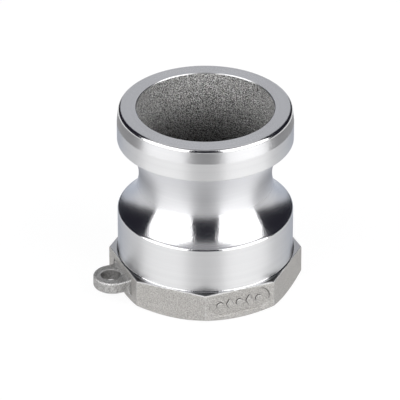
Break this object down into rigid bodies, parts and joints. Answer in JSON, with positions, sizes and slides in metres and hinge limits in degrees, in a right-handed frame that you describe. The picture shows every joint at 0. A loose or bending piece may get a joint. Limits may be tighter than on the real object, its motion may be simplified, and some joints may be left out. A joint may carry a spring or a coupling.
{
  "type": "camlock adapter",
  "caption": "Cast steel camlock adapter: machined spigot with a cam groove, flared bore, octagon for a wrench, chain lug and a female pipe thread.",
  "frame": {"origin": "centre of the foot face, on the flow axis", "axes": "+Z along the flow axis towards the spigot; -Y through the corner of the octagon between the plain flat and the marked flat; the chain lug points towards -X and a little towards -Y"},
  "size_m": [0.0541, 0.0502, 0.0503],
  "materials": {
    "machined_steel": "bright turned stainless steel",
    "cast_steel": "blasted investment-cast stainless steel, matt and grainy",
    "threaded_steel": "machined thread"
  },
  "bodies": {
    "root": {"spigot_head": "machined_steel", "cam_neck": "machined_steel", "barrel": "machined_steel", "octagon_base": "cast_steel", "pipe_thread": "threaded_steel", "chain_lug": "cast_steel", "size_marks": "cast_steel"}
  },
  "joints": []
}
